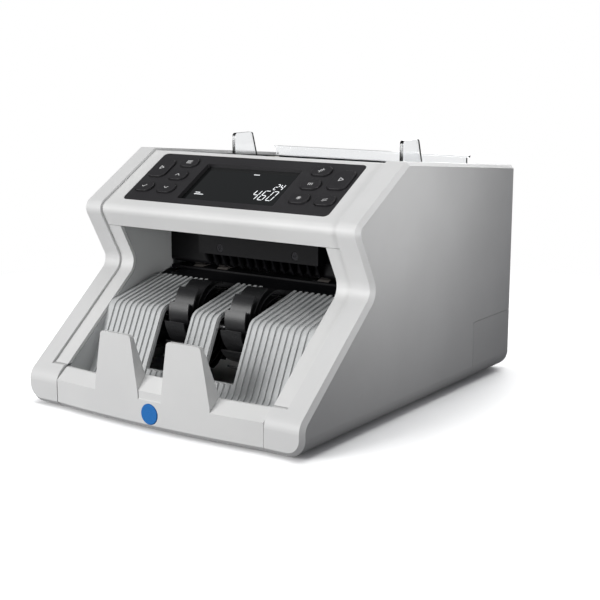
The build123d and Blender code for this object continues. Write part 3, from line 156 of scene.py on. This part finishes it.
sheen.inputs["From Min"].default_value = 0.3
sheen.inputs["From Max"].default_value = 0.7
for source, target in (
    (group_in.outputs["Place"], drawn.inputs["Vector"]),
    (group_in.outputs["Lay"], drawn.inputs["Scale"]),
    (drawn.outputs["Vector"], lines.inputs["Vector"]),
    (lines.outputs["Fac"], tone.inputs["Factor"]),
    (group_in.outputs["Dark"], tone.inputs["A"]),
    (group_in.outputs["Light"], tone.inputs["B"]),
    (lines.outputs["Fac"], sheen.inputs["Value"]),
    (group_in.outputs["Smooth"], sheen.inputs["To Min"]),
    (group_in.outputs["Matt"], sheen.inputs["To Max"]),
    (tone.outputs["Result"], group_out.inputs["Color"]),
    (sheen.outputs["Result"], group_out.inputs["Roughness"]),
    (lines.outputs["Fac"], group_out.inputs["Height"]),
):
    brushing.links.new(source, target)

turned = (4000.0, 60.0, 60.0)
turned_steel = finish_from(brushing, "turned steel", (0.66, 0.66, 0.67), (0.46, 0.46, 0.47),
                           0.2, 0.00003, Lay=turned, Smooth=0.2, Matt=0.36)
surface_of(turned_steel)["Metallic"].default_value = 1.0
dress(turned_steel, "foot_screws", "rear_hinge_pins")

# ---------------------------------------------------------------- steel side frames and bearings
# Two zinc-plated sheet steel plates stand inside the covers and hold the whole note path.
# The sintered bronze bushes pressed into them carry the shafts.
rolled = (40.0, 40.0, 2400.0)
zinc_sheet = finish_from(brushing, "zinc sheet", (0.58, 0.60, 0.62), (0.44, 0.46, 0.48),
                         0.25, 0.00004, Lay=rolled, Smooth=0.3, Matt=0.48)
surface_of(zinc_sheet)["Metallic"].default_value = 1.0
dress(zinc_sheet, "left_side_frame", "right_side_frame")
bush_bronze = finish_from(moulding, "sintered bronze", (0.60, 0.40, 0.18), (0.44, 0.28, 0.12),
                          0.6, 0.00006, Grain=3200.0, Smooth=0.34, Matt=0.55)
surface_of(bush_bronze)["Metallic"].default_value = 1.0
dress(bush_bronze, "shaft_bearings")

# ---------------------------------------------------------------- motors, pulleys and belts
# Each motor is a painted steel can, and plain black rubber belts take its turn to the shafts.
# The small pulleys are natural acetal, pressed on the motors' shafts.
motor_paint = finish_from(moulding, "motor paint", (0.085, 0.087, 0.092), (0.06, 0.062, 0.066),
                          0.4, 0.00006, Grain=1500.0, Smooth=0.3, Matt=0.46)
dress(motor_paint, "main_motor", "stacker_motor")
natural_acetal = finish_from(moulding, "natural acetal", (0.78, 0.77, 0.71), (0.70, 0.69, 0.63),
                             0.2, 0.00004, Grain=2200.0, Smooth=0.3, Matt=0.42)
dress(natural_acetal, "main_motor_pulley", "stacker_motor_pulley", "guide_pinion",
      "gap_adjust_knob")
belt_rubber = finish_from(moulding, "belt rubber", (0.026, 0.026, 0.027), (0.014, 0.014, 0.015),
                          0.8, 0.0001, Grain=1400.0, Smooth=0.66, Matt=0.85)
dress(belt_rubber, "drive_belts")

# ---------------------------------------------------------------- shafts and rollers
# The shafts are ground steel rods, and the rollers on them are ground rubber rings.
# The grinding leaves fine marks round each ring and a dusty, dull face.
dress(turned_steel, "feed_shaft", "pickup_shaft", "transport_shaft", "stacker_shaft")
roller_rubber = finish_from(brushing, "ground rubber", (0.16, 0.145, 0.135), (0.10, 0.09, 0.085),
                            0.6, 0.0001, Lay=turned, Smooth=0.62, Matt=0.84)
dress(roller_rubber, "feed_rollers", "pickup_rollers", "transport_rollers", "retard_roller",
      "idler_rollers")

# ---------------------------------------------------------------- circuit boards
# The boards are glass-fibre laminate under green solder mask, seen only through the back door.
# The module behind the screen sits in a dark plastic frame.
solder_mask = finish_from(moulding, "solder mask", (0.02, 0.14, 0.055), (0.012, 0.085, 0.035),
                          0.3, 0.00005, Grain=700.0, Smooth=0.2, Matt=0.4)
dress(solder_mask, "control_board", "main_board", "power_supply")
screen_frame = finish_from(moulding, "screen frame", (0.05, 0.05, 0.052), (0.035, 0.035, 0.037),
                           0.4, 0.00005, Grain=2400.0, Smooth=0.4, Matt=0.55)
dress(screen_frame, "lcd_module")

# ---------------------------------------------------------------- exit throat and stacker wheels
# The housing, bar, plate and finned wheels at the exit are satin black plastic.
# Two small panes in the plate cover its light sensors, and two crossed screws hold the bar.
black_satin = finish_from(moulding, "black satin plastic", (0.009, 0.009, 0.010),
                          (0.005, 0.005, 0.006), 0.4, 0.00006, Grain=2600.0, Smooth=0.34, Matt=0.5)
surface_of(black_satin)["Specular IOR Level"].default_value = 0.12
dress(black_satin, "upper_housing", "exit_bar", "exit_plate")
wheel_plastic = finish_from(moulding, "soft wheel plastic", (0.018, 0.018, 0.019),
                            (0.010, 0.010, 0.011), 0.3, 0.00005,
                            Grain=2200.0, Smooth=0.26, Matt=0.4)
dress(wheel_plastic, "stacker_wheels")
screw_black = finish_from(brushing, "black oxide", (0.035, 0.035, 0.037), (0.02, 0.02, 0.022),
                          0.3, 0.00004, Lay=(900.0, 900.0, 900.0), Smooth=0.28, Matt=0.42)
surface_of(screw_black)["Metallic"].default_value = 1.0
dress(screw_black, "exit_bar_screws")


def piece_from(mesh, name, body, material):
    """Turn a finished bmesh into a piece that rides on a body."""
    data = bpy.data.meshes.new(name)
    mesh.to_mesh(data)
    mesh.free()
    data.materials.append(material)
    piece = bpy.data.objects.new(name, data)
    bpy.context.scene.collection.objects.link(piece)
    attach(piece, body)
    return piece


def add_slab(mesh, length, width, thick, rounding, at):
    """A thin slab with rounded corners, its underside on the plane that at gives."""
    others = set(mesh.verts)
    corners = bmesh.ops.create_grid(mesh, x_segments=1, y_segments=1, size=0.5)["verts"]
    bmesh.ops.scale(mesh, vec=(length, width, 1.0), verts=corners)
    bmesh.ops.bevel(mesh, geom=corners, offset=rounding, affect="VERTICES", segments=4,
                    profile=0.5, material=-1)
    face = [part for part in mesh.faces if not others.intersection(part.verts)]
    top = bmesh.ops.extrude_face_region(mesh, geom=face, use_keep_orig=True)
    raised = [part for part in top["geom"] if isinstance(part, bmesh.types.BMVert)]
    bmesh.ops.translate(mesh, vec=(0.0, 0.0, thick), verts=raised)
    bmesh.ops.reverse_faces(mesh, faces=face)
    bmesh.ops.transform(mesh, matrix=at, verts=[vert for vert in mesh.verts if vert not in others])


pane_length, pane_width, pane_thick, pane_rounding = 0.0085, 0.0040, 0.0003, 0.0006
plate_slope = math.radians(11.5)
plate_edge = Vector((0.0, -0.0339, 0.0847))
pane_up = 0.021                 # from the plate's edge up its slope to the panes


def polished(name, colour, grain, detail, clearest, dullest):
    """A smooth material whose roughness drifts between two values, as handled plastic's does."""
    material = bpy.data.materials.new(name)
    material.use_nodes = True
    tree = material.node_tree
    surface_of(material)["Base Color"].default_value = (*colour, 1.0)
    place = tree.nodes.new("ShaderNodeTexCoord")
    haze = tree.nodes.new("ShaderNodeTexNoise")
    haze.inputs["Scale"].default_value = grain
    haze.inputs["Detail"].default_value = detail
    drift = tree.nodes.new("ShaderNodeMapRange")
    drift.inputs["To Min"].default_value = clearest
    drift.inputs["To Max"].default_value = dullest
    tree.links.new(place.outputs["Object"], haze.inputs["Vector"])
    tree.links.new(haze.outputs["Fac"], drift.inputs["Value"])
    tree.links.new(drift.outputs["Result"], surface_of(material)["Roughness"])
    return material


sensor_glass = polished("sensor pane", (0.35, 0.36, 0.38), 900.0, 2.0, 0.06, 0.2)
surface_of(sensor_glass)["Metallic"].default_value = 0.6
panes = bmesh.new()
for pane_x in (-0.030, 0.0445):
    pane_rise = Vector((pane_x, pane_up * math.cos(plate_slope), pane_up * math.sin(plate_slope)))
    seat = Matrix.Translation(plate_edge + pane_rise) @ Matrix.Rotation(plate_slope, 4, "X")
    add_slab(panes, pane_length, pane_width, pane_thick, pane_rounding, seat)
piece_from(panes, "sensor_panes", "housing", sensor_glass)

cross_length, cross_width, cross_thick, cross_rounding = 0.0036, 0.0007, 0.00004, 0.0001
cross_lift = 0.00002            # clear of the screw's head
bar_screw_x, bar_screw_z = 0.0353, 0.1092
crosses = bmesh.new()
for screw_x in (-bar_screw_x, bar_screw_x):
    head = (screw_x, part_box("exit_bar_screws")[0][1] + cross_lift, bar_screw_z)
    for turn in (35.0, 125.0):
        seat = (Matrix.Translation(head) @ Matrix.Rotation(math.pi / 2, 4, "X")
                @ Matrix.Rotation(math.radians(turn), 4, "Z"))
        add_slab(crosses, cross_length, cross_width, cross_thick, cross_rounding, seat)
piece_from(crosses, "screw_crosses", "housing", screw_black)

# ---------------------------------------------------------------- stacker pocket
# The pocket that catches the counted notes is one light grey moulding.
# Its ramp has fine ribs, and its satin face is a little smoother than the shell.
pocket_grey = finish_from(moulding, "pocket grey", (0.60, 0.61, 0.61), (0.55, 0.56, 0.56),
                          0.3, 0.00005, Grain=2600.0, Smooth=0.36, Matt=0.5)
dress(pocket_grey, "stacker_pocket")

# ---------------------------------------------------------------- hopper, guides and back plate
# The hopper tray is black plastic. The two sliding guides and the plate behind the notes
# are clear polished acrylic, lightly hazed by handling.
dress(black_satin, "hopper_tray")
acrylic = polished("clear acrylic", (0.90, 0.91, 0.92), 60.0, 5.0, 0.04, 0.16)
surface_of(acrylic)["Transmission Weight"].default_value = 1.0
surface_of(acrylic)["IOR"].default_value = 1.49
dress(acrylic, "left_guide", "right_guide", "hopper_back_plate")

# ---------------------------------------------------------------- shell
# The covers, rims, hood and front panel are white ABS with a very fine spark texture.
# The hood is a touch lighter than the side covers: the covers' darker copy of the white is painted
# shade for the side that falls away from the light.
shell_white = finish_from(moulding, "white shell", (0.80, 0.80, 0.79), (0.76, 0.76, 0.755),
                          0.35, 0.00005, Grain=3000.0, Smooth=0.38, Matt=0.5)
# darker copy of the white for the side covers: painted shade
shaded_cover_white = finish_from(moulding, "shaded white cover", (0.77, 0.77, 0.765), (0.73, 0.73, 0.725),
                          0.4, 0.00006, Grain=2800.0, Smooth=0.4, Matt=0.54)
dress(shell_white, "hood", "front_panel", "left_inner_frame", "right_inner_frame")
dress(shaded_cover_white, "left_side_cover", "right_side_cover")

# ---------------------------------------------------------------- badge
# A plain round disc with a blue lacquered face is set into the front panel.
# Turning left fine rings round its middle, which show through the lacquer.
badge_low, badge_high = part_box("badge")
badge_middle = (Vector(badge_low) + Vector(badge_high)) / 2
badge_blue = bpy.data.materials.new("turned blue disc")
badge_blue.use_nodes = True
badge_surface = badge_blue.node_tree.nodes["Principled BSDF"]
badge_surface.inputs["Metallic"].default_value = 0.35
badge_place = badge_blue.node_tree.nodes.new("ShaderNodeTexCoord")
badge_centre = badge_blue.node_tree.nodes.new("ShaderNodeMapping")
badge_centre.inputs["Location"].default_value = -badge_middle
badge_rings = badge_blue.node_tree.nodes.new("ShaderNodeTexWave")
badge_rings.wave_type = "RINGS"
badge_rings.rings_direction = "Y"
badge_rings.inputs["Scale"].default_value = 900.0
badge_ramp = badge_blue.node_tree.nodes.new("ShaderNodeValToRGB")
badge_ramp.color_ramp.elements[0].color = (0.02, 0.19, 0.60, 1.0)
badge_ramp.color_ramp.elements[1].color = (0.04, 0.27, 0.76, 1.0)
badge_range = badge_blue.node_tree.nodes.new("ShaderNodeMapRange")
badge_range.inputs["To Min"].default_value = 0.24
badge_range.inputs["To Max"].default_value = 0.4
badge_links = badge_blue.node_tree.links
badge_links.new(badge_place.outputs["Object"], badge_centre.inputs["Vector"])
badge_links.new(badge_centre.outputs["Vector"], badge_rings.inputs["Vector"])
badge_links.new(badge_rings.outputs["Fac"], badge_ramp.inputs["Fac"])
badge_links.new(badge_ramp.outputs["Color"], badge_surface.inputs["Base Color"])
badge_links.new(badge_rings.outputs["Fac"], badge_range.inputs["Value"])
badge_links.new(badge_range.outputs["Result"], badge_surface.inputs["Roughness"])
dress(badge_blue, "badge")

# ---------------------------------------------------------------- control panel
# The panel is a charcoal moulding with raised keys of the same plastic round a sunk screen.
# Each key has a small plain sign printed in white, and the screen shows two numbers and marks.
panel_charcoal = finish_from(moulding, "charcoal panel", (0.030, 0.029, 0.031),
                             (0.024, 0.023, 0.025), 0.45, 0.00005,
                             Grain=2800.0, Smooth=0.36, Matt=0.5)
key_charcoal = finish_from(moulding, "charcoal keys", (0.027, 0.026, 0.028), (0.021, 0.020, 0.022),
                           0.35, 0.00005, Grain=2800.0, Smooth=0.32, Matt=0.46)
presses = {joint["child"]: joint for joint in frame["joints"] if joint["child"].startswith("key_")}
for charcoal in (panel_charcoal, key_charcoal):
    surface_of(charcoal)["Specular IOR Level"].default_value = 0.3
dress(panel_charcoal, "control_bezel")
dress(key_charcoal, *presses)

screen_black = polished("screen lens", (0.006, 0.007, 0.007), 40.0, 4.0, 0.05, 0.14)
surface_of(screen_black)["Coat Weight"].default_value = 0.6
dress(screen_black, "lcd_lens")

print_white = finish_from(moulding, "white print", (0.72, 0.72, 0.72), (0.60, 0.60, 0.60),
                          0.2, 0.00002, Grain=6000.0, Smooth=0.5, Matt=0.7)
panel_out = -Vector(presses["key_menu"]["axis"]).normalized()
panel_up = Vector((0.0, panel_out.z, -panel_out.y))
panel_turn = Matrix((Vector((1.0, 0.0, 0.0)), panel_up, panel_out)).transposed().to_4x4()
key_proud = 0.0015
print_thick, print_lift = 0.00003, 0.00001
stroke_rounding = 0.3           # share of a stroke's width


def add_line(mesh, seat, x, y, length, width, turn=0.0):
    """One printed stroke, lying on the plane of seat."""
    at = seat @ Matrix.Translation((x, y, print_lift)) @ Matrix.Rotation(math.radians(turn), 4, "Z")
    add_slab(mesh, length, width, print_thick, stroke_rounding * width, at)


def sign_lines(kind):
    """The strokes of a key's sign, each as x, y, length, width and turn in millimetres."""
    if kind == "start":
        return [(-1.2, 0.0, 4.0, 0.6, 90.0), (0.5, 0.95, 3.9, 0.6, -29.0),
                (0.5, -0.95, 3.9, 0.6, 29.0)]
    if kind == "menu":
        return [(0.0, row, 5.0, 0.6, 0.0) for row in (-1.4, 0.0, 1.4)]
    if kind == "up":
        return [(-0.95, 0.0, 2.8, 0.6, 45.0), (0.95, 0.0, 2.8, 0.6, -45.0)]
    if kind == "down":
        return [(-0.95, 0.0, 2.8, 0.6, -45.0), (0.95, 0.0, 2.8, 0.6, 45.0)]
    if kind == "ok":
        return [(-1.3, -0.35, 1.9, 0.6, -45.0), (0.65, 0.25, 3.5, 0.6, 45.0)]
    if kind == "batch":
        return [(shift, shift, 3.4, 0.5, turn) for shift in (-0.8, 0.8) for turn in (0.0, 90.0)]
    if kind == "mode":
        return [(shift, 0.0, 2.6, 0.6, 90.0) for shift in (-1.5, 0.0, 1.5)]
    if kind == "detect":
        return [(0.0, 0.0, 3.6, 0.5, turn) for turn in (0.0, 45.0, 90.0, 135.0)]
    return [(0.0, row, 4.0, 0.5, 18.0) for row in (-0.8, 0.8)]


for key, joint in presses.items():
    seat = Matrix.Translation(Vector(joint["pos_m"]) + key_proud * panel_out) @ panel_turn
    sign = bmesh.new()
    for x, y, length, width, turn in sign_lines(key.split("_")[1]):
        add_line(sign, seat, x / 1000, y / 1000, length / 1000, width / 1000, turn)
    piece_from(sign, "sign_" + key, key, print_white)

lens_low, lens_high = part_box("lcd_lens")
lens_thick = 0.0012
screen_seat = (Matrix.Translation((Vector(lens_low) + Vector(lens_high)) / 2
                                  + lens_thick / 2 * panel_out) @ panel_turn)
segment_glow = bpy.data.materials.new("lit segments")
segment_glow.use_nodes = True
segment_surface = segment_glow.node_tree.nodes["Principled BSDF"]
segment_surface.inputs["Base Color"].default_value = (0.8, 0.82, 0.84, 1.0)
segment_surface.inputs["Emission Strength"].default_value = 0.7
segment_place = segment_glow.node_tree.nodes.new("ShaderNodeTexCoord")
segment_noise = segment_glow.node_tree.nodes.new("ShaderNodeTexNoise")
segment_noise.inputs["Scale"].default_value = 400.0
segment_ramp = segment_glow.node_tree.nodes.new("ShaderNodeValToRGB")
segment_ramp.color_ramp.elements[0].color = (0.70, 0.74, 0.76, 1.0)
segment_ramp.color_ramp.elements[1].color = (1.0, 1.0, 1.0, 1.0)
segment_links = segment_glow.node_tree.links
segment_links.new(segment_place.outputs["Object"], segment_noise.inputs["Vector"])
segment_links.new(segment_noise.outputs["Fac"], segment_ramp.inputs["Fac"])
segment_links.new(segment_ramp.outputs["Color"], segment_surface.inputs["Emission Color"])

digit_width, digit_height, digit_pitch = 0.0044, 0.0108, 0.0074
lean_angle = 9.0
digit_lean = math.tan(math.radians(lean_angle))
upright = 90.0 - lean_angle
stroke = 0.00065
stroke_cut = 1.2 * stroke       # taken off each segment, so that its ends stay apart
segment_places = {
    "top": (0.0, 1.0, True), "middle": (0.0, 0.0, True), "bottom": (0.0, -1.0, True),
    "upper left": (-1.0, 0.5, False), "upper right": (1.0, 0.5, False),
    "lower left": (-1.0, -0.5, False), "lower right": (1.0, -0.5, False),
}
dark_segments = {
    "2": ("upper left", "lower right"),
    "4": ("top", "lower left", "bottom"),
    "6": ("upper right",),
    "0": ("middle",),
}
digits = bmesh.new()
# the count, then a smaller number above it: figures, size, place of the first figure
screen_numbers = (("460", 1.0, 0.0186, -0.0072), ("24", 0.6, 0.0310, 0.0034))
for figures, size, count_x, count_y in screen_numbers:
    for order, figure in enumerate(figures):
        for segment, (across, up, level) in segment_places.items():
            if segment in dark_segments[figure]:
                continue
            y = size * up * digit_height / 2
            x = size * (across * digit_width / 2 + order * digit_pitch) + y * digit_lean + count_x
            length = size * (digit_width if level else digit_height / 2) - stroke_cut
            add_line(digits, screen_seat, x, count_y + y, length, stroke, 0.0 if level else upright)
# small status marks: place across, place up, length
screen_marks = ((-0.0335, -0.0095, 0.0045), (-0.0315, -0.0115, 0.0085), (0.0050, 0.0160, 0.0055))
for mark_x, mark_y, mark_length in screen_marks:
    add_line(digits, screen_seat, mark_x, mark_y, mark_length, stroke)
piece_from(digits, "screen_count", "housing", segment_glow)

# ---------------------------------------------------------------- power inlet, switch and sockets
# The inlet, its rocker and the data sockets are glossy black mouldings.
# They sit in openings in the back wall of the pan, and the rocker is left plain.
black_gloss = finish_from(moulding, "black gloss plastic", (0.014, 0.014, 0.015),
                          (0.009, 0.009, 0.010), 0.25, 0.00004, Grain=2400.0, Smooth=0.2, Matt=0.34)
dress(black_gloss, "power_inlet", "power_switch", "rear_ports")

# ---------------------------------------------------------------- floor, light and camera
# The machine stands on a pale paper floor that fades to plain white with distance.
# The main light comes from the front left, so the right side falls into a soft shade, and a
# weaker light behind the machine keeps its back readable.
floor_half = 12.0
fade_start, fade_end = 0.22, 0.6        # from the middle of the machine
paper = bmesh.new()
bmesh.ops.create_grid(paper, x_segments=4, y_segments=4, size=floor_half)
floor_data = bpy.data.meshes.new("paper_floor")
paper.to_mesh(floor_data)
paper.free()
paper_white = finish_from(moulding, "floor paper", (0.93, 0.93, 0.93), (0.91, 0.91, 0.91),
                          0.05, 0.00005, Grain=400.0, Smooth=0.8, Matt=0.95)
paper_tree = paper_white.node_tree
bounce = paper_tree.nodes.new("ShaderNodeBsdfDiffuse")
bounce.inputs["Color"].default_value = (0.22, 0.22, 0.23, 1.0)
far_white = paper_tree.nodes.new("ShaderNodeEmission")
path = paper_tree.nodes.new("ShaderNodeLightPath")
floor_place = paper_tree.nodes.new("ShaderNodeTexCoord")
reach = paper_tree.nodes.new("ShaderNodeVectorMath")
reach.operation = "LENGTH"
fade = paper_tree.nodes.new("ShaderNodeMapRange")
fade.inputs["From Min"].default_value = fade_start
fade.inputs["From Max"].default_value = fade_end
straight = paper_tree.nodes.new("ShaderNodeMath")
straight.operation = "MAXIMUM"
near_far = paper_tree.nodes.new("ShaderNodeMixShader")
second_coat = paper_tree.nodes.new("ShaderNodeBsdfDiffuse")
bright = paper_tree.nodes.new("ShaderNodeAddShader")
seen = paper_tree.nodes.new("ShaderNodeMixShader")
for source, target in (
    (floor_place.outputs["Object"], reach.inputs[0]),
    (reach.outputs["Value"], fade.inputs["Value"]),
    (fade.outputs["Result"], near_far.inputs["Fac"]),
    (paper_tree.nodes["Principled BSDF"].outputs["BSDF"], bright.inputs[0]),
    (second_coat.outputs["BSDF"], bright.inputs[1]),
    (bright.outputs["Shader"], near_far.inputs[1]),
    (far_white.outputs["Emission"], near_far.inputs[2]),
    (path.outputs["Is Camera Ray"], straight.inputs[0]),
    (path.outputs["Is Transmission Ray"], straight.inputs[1]),
    (straight.outputs["Value"], seen.inputs["Fac"]),
    (bounce.outputs["BSDF"], seen.inputs[1]),
    (near_far.outputs["Shader"], seen.inputs[2]),
    (seen.outputs["Shader"], paper_tree.nodes["Material Output"].inputs["Surface"]),
):
    paper_tree.links.new(source, target)
floor_data.materials.append(paper_white)
floor = bpy.data.objects.new("paper_floor", floor_data)
bpy.context.scene.collection.objects.link(floor)

middle = (0.0, 0.0, 0.09)
wide_fan = 3.14
# name, place, aim, size, power, fan
for name, spot, aim, size, power, fan in (
    ("main_softbox", (-1.0, -2.1, 0.6), middle, 1.4, 45.0, wide_fan),
    ("top_softbox", (0.1, 0.0, 2.3), middle, 1.6, 18.0, wide_fan),
    ("back_softbox", (-0.4, 2.2, 0.9), middle, 1.6, 34.0, wide_fan),
    ("side_softbox", (0.60, -0.28, 0.16), (0.125, -0.02, 0.20), 0.16, 0.11, 0.7),
):
    lamp = bpy.data.lights.new(name, "AREA")
    lamp.size = size
    lamp.energy = power
    lamp.spread = fan
    holder = bpy.data.objects.new(name, lamp)
    holder.location = spot
    holder.rotation_euler = (Vector(aim) - Vector(spot)).to_track_quat("-Z", "Y").to_euler()
    holder.visible_camera = False
    bpy.context.scene.collection.objects.link(holder)

world = bpy.data.worlds.new("studio")
world.use_nodes = True
backdrop = world.node_tree.nodes["Background"]
backdrop.inputs["Color"].default_value = (1.0, 1.0, 1.0, 1.0)
ambient = world.node_tree.nodes.new("ShaderNodeBackground")
ambient.inputs["Color"].default_value = (0.94, 0.96, 1.0, 1.0)
ambient.inputs["Strength"].default_value = 0.14
sight = world.node_tree.nodes.new("ShaderNodeLightPath")
either = world.node_tree.nodes.new("ShaderNodeMixShader")
through = world.node_tree.nodes.new("ShaderNodeMath")
through.operation = "MAXIMUM"
for source, target in (
    (sight.outputs["Is Camera Ray"], through.inputs[0]),
    (sight.outputs["Is Transmission Ray"], through.inputs[1]),
    (through.outputs["Value"], either.inputs["Fac"]),
    (ambient.outputs["Background"], either.inputs[1]),
    (backdrop.outputs["Background"], either.inputs[2]),
    (either.outputs["Shader"], world.node_tree.nodes["World Output"].inputs["Surface"]),
):
    world.node_tree.links.new(source, target)
bpy.context.scene.world = world
bpy.context.scene.view_settings.view_transform = "Standard"

lens_data = bpy.data.cameras.new("front_camera")
lens_data.lens = 73.34
lens_data.sensor_width = 36.0
camera = bpy.data.objects.new("front_camera", lens_data)
camera.location = (0.5471, -0.75335, 0.2550)
camera.rotation_euler = (math.radians(78.65), 0.0, math.radians(34.92))
bpy.context.scene.collection.objects.link(camera)
bpy.context.scene.camera = camera
